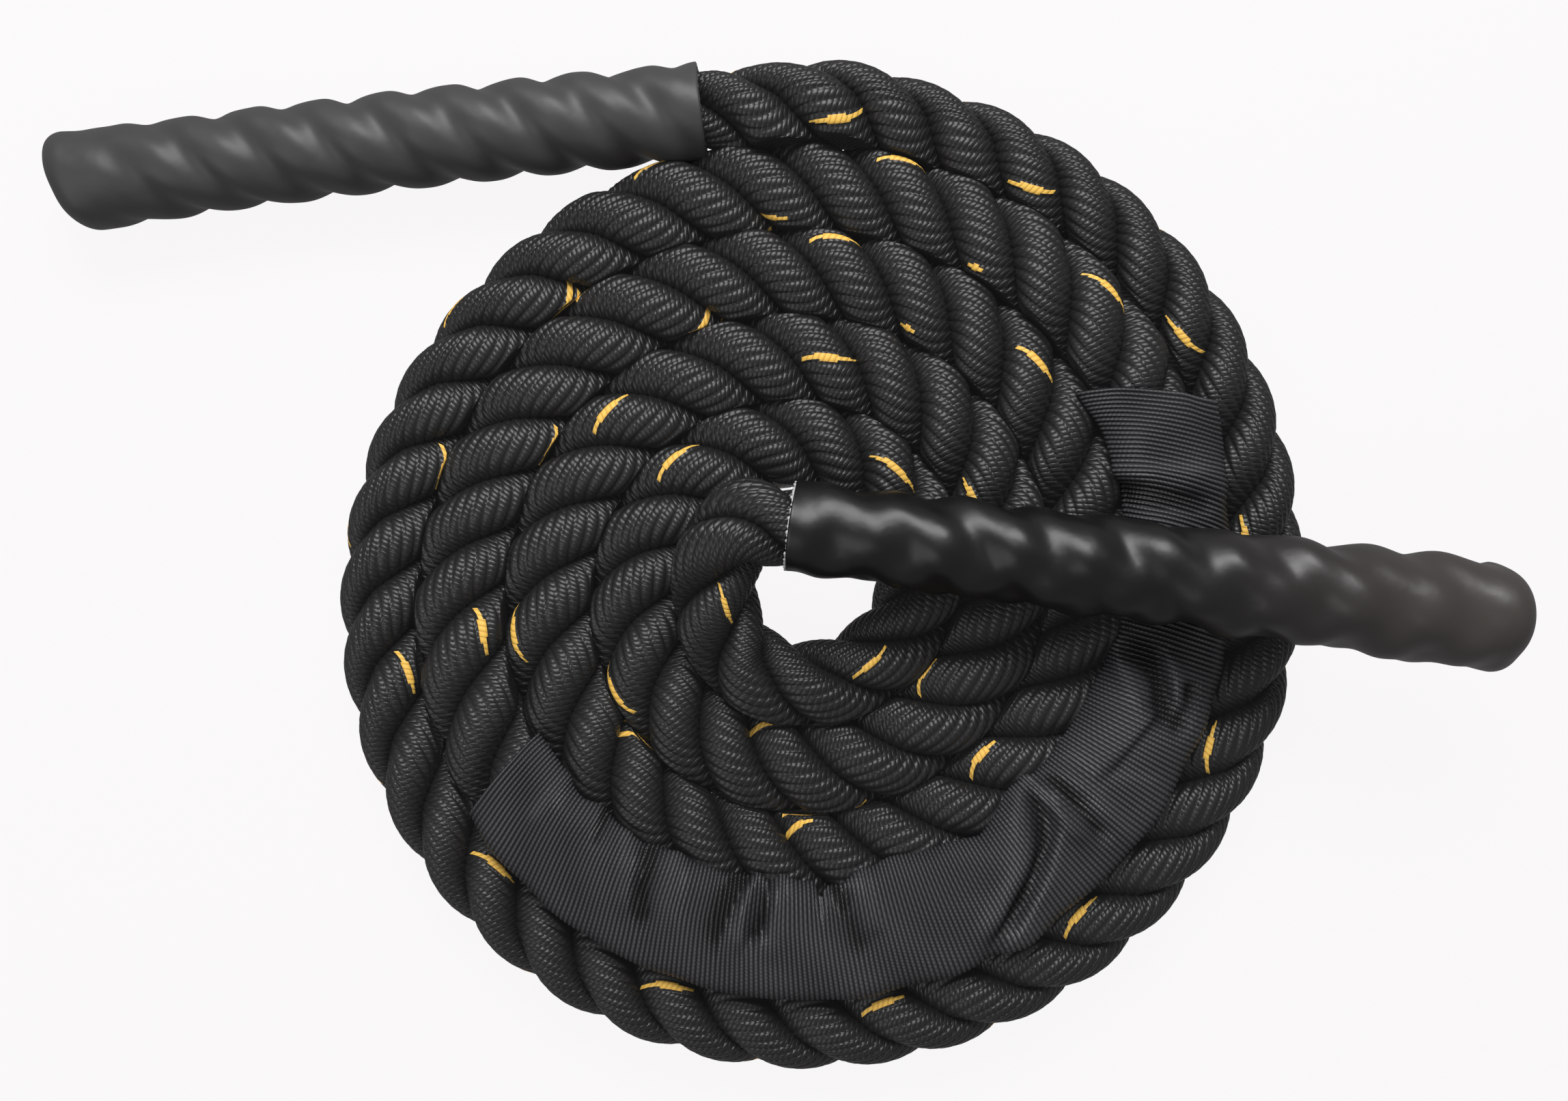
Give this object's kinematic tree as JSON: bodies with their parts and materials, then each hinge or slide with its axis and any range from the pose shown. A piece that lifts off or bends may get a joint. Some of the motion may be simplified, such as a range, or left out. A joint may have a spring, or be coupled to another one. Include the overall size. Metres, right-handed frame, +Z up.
{
  "type": "weighted jump rope",
  "caption": "Thick black three-strand rope coiled flat in a spiral, with a smooth lobed shrunk jacket as a handle on each end and a webbing wear sleeve.",
  "frame": {"origin": "on the floor, under the middle of the box round both handles and the sleeve", "axes": "+X to the tip of the handle that lies across the coil, +Z up, +Y from that handle towards the one beside the coil"},
  "size_m": [0.4303, 0.3037, 0.0629],
  "materials": {
    "rope": "black laid synthetic fibre with one orange tracer yarn",
    "outer_jacket": "satin dark grey-black shrunk plastic",
    "inner_jacket": "satin black shrunk plastic",
    "webbing": "ribbed black nylon webbing",
    "twine": "black twine",
    "adhesive": "pale adhesive"
  },
  "bodies": {
    "rope": {"rope_coil": "rope", "rope_outer_lead": "rope", "rope_inner_lead": "rope"},
    "outer_handle": {"outer_handle_jacket": "outer_jacket", "outer_handle_strand_1": "rope", "outer_handle_strand_2": "rope", "outer_handle_strand_3": "rope", "outer_handle_whipping": "twine", "outer_handle_mouth_bead": "adhesive"},
    "inner_handle": {"inner_handle_jacket": "inner_jacket", "inner_handle_strand_1": "rope", "inner_handle_strand_2": "rope", "inner_handle_strand_3": "rope", "inner_handle_whipping": "twine", "inner_handle_mouth_bead": "adhesive"},
    "sleeve": {"wear_sleeve": "webbing"}
  },
  "joints": [
    {"name": "outer_handle_swing", "type": "hinge", "parent": "rope", "child": "outer_handle", "pos_m": [-0.00309, 0.12666, 0.0155], "axis": [0, 0, -1], "range_deg": [0, 40], "deforming": ["rope_outer_lead"]},
    {"name": "inner_handle_lift", "type": "hinge", "parent": "rope", "child": "inner_handle", "pos_m": [-0.00426, 0.0016, 0.03477], "axis": [-0.1288, -0.9917, 0], "range_deg": [0, 40], "deforming": ["rope_inner_lead"]},
    {"name": "sleeve_slide", "type": "hinge", "parent": "rope", "child": "sleeve", "pos_m": [0.0125, -0.0189, 0], "axis": [0, 0, 1], "range_deg": [-3, 3]}
  ]
}
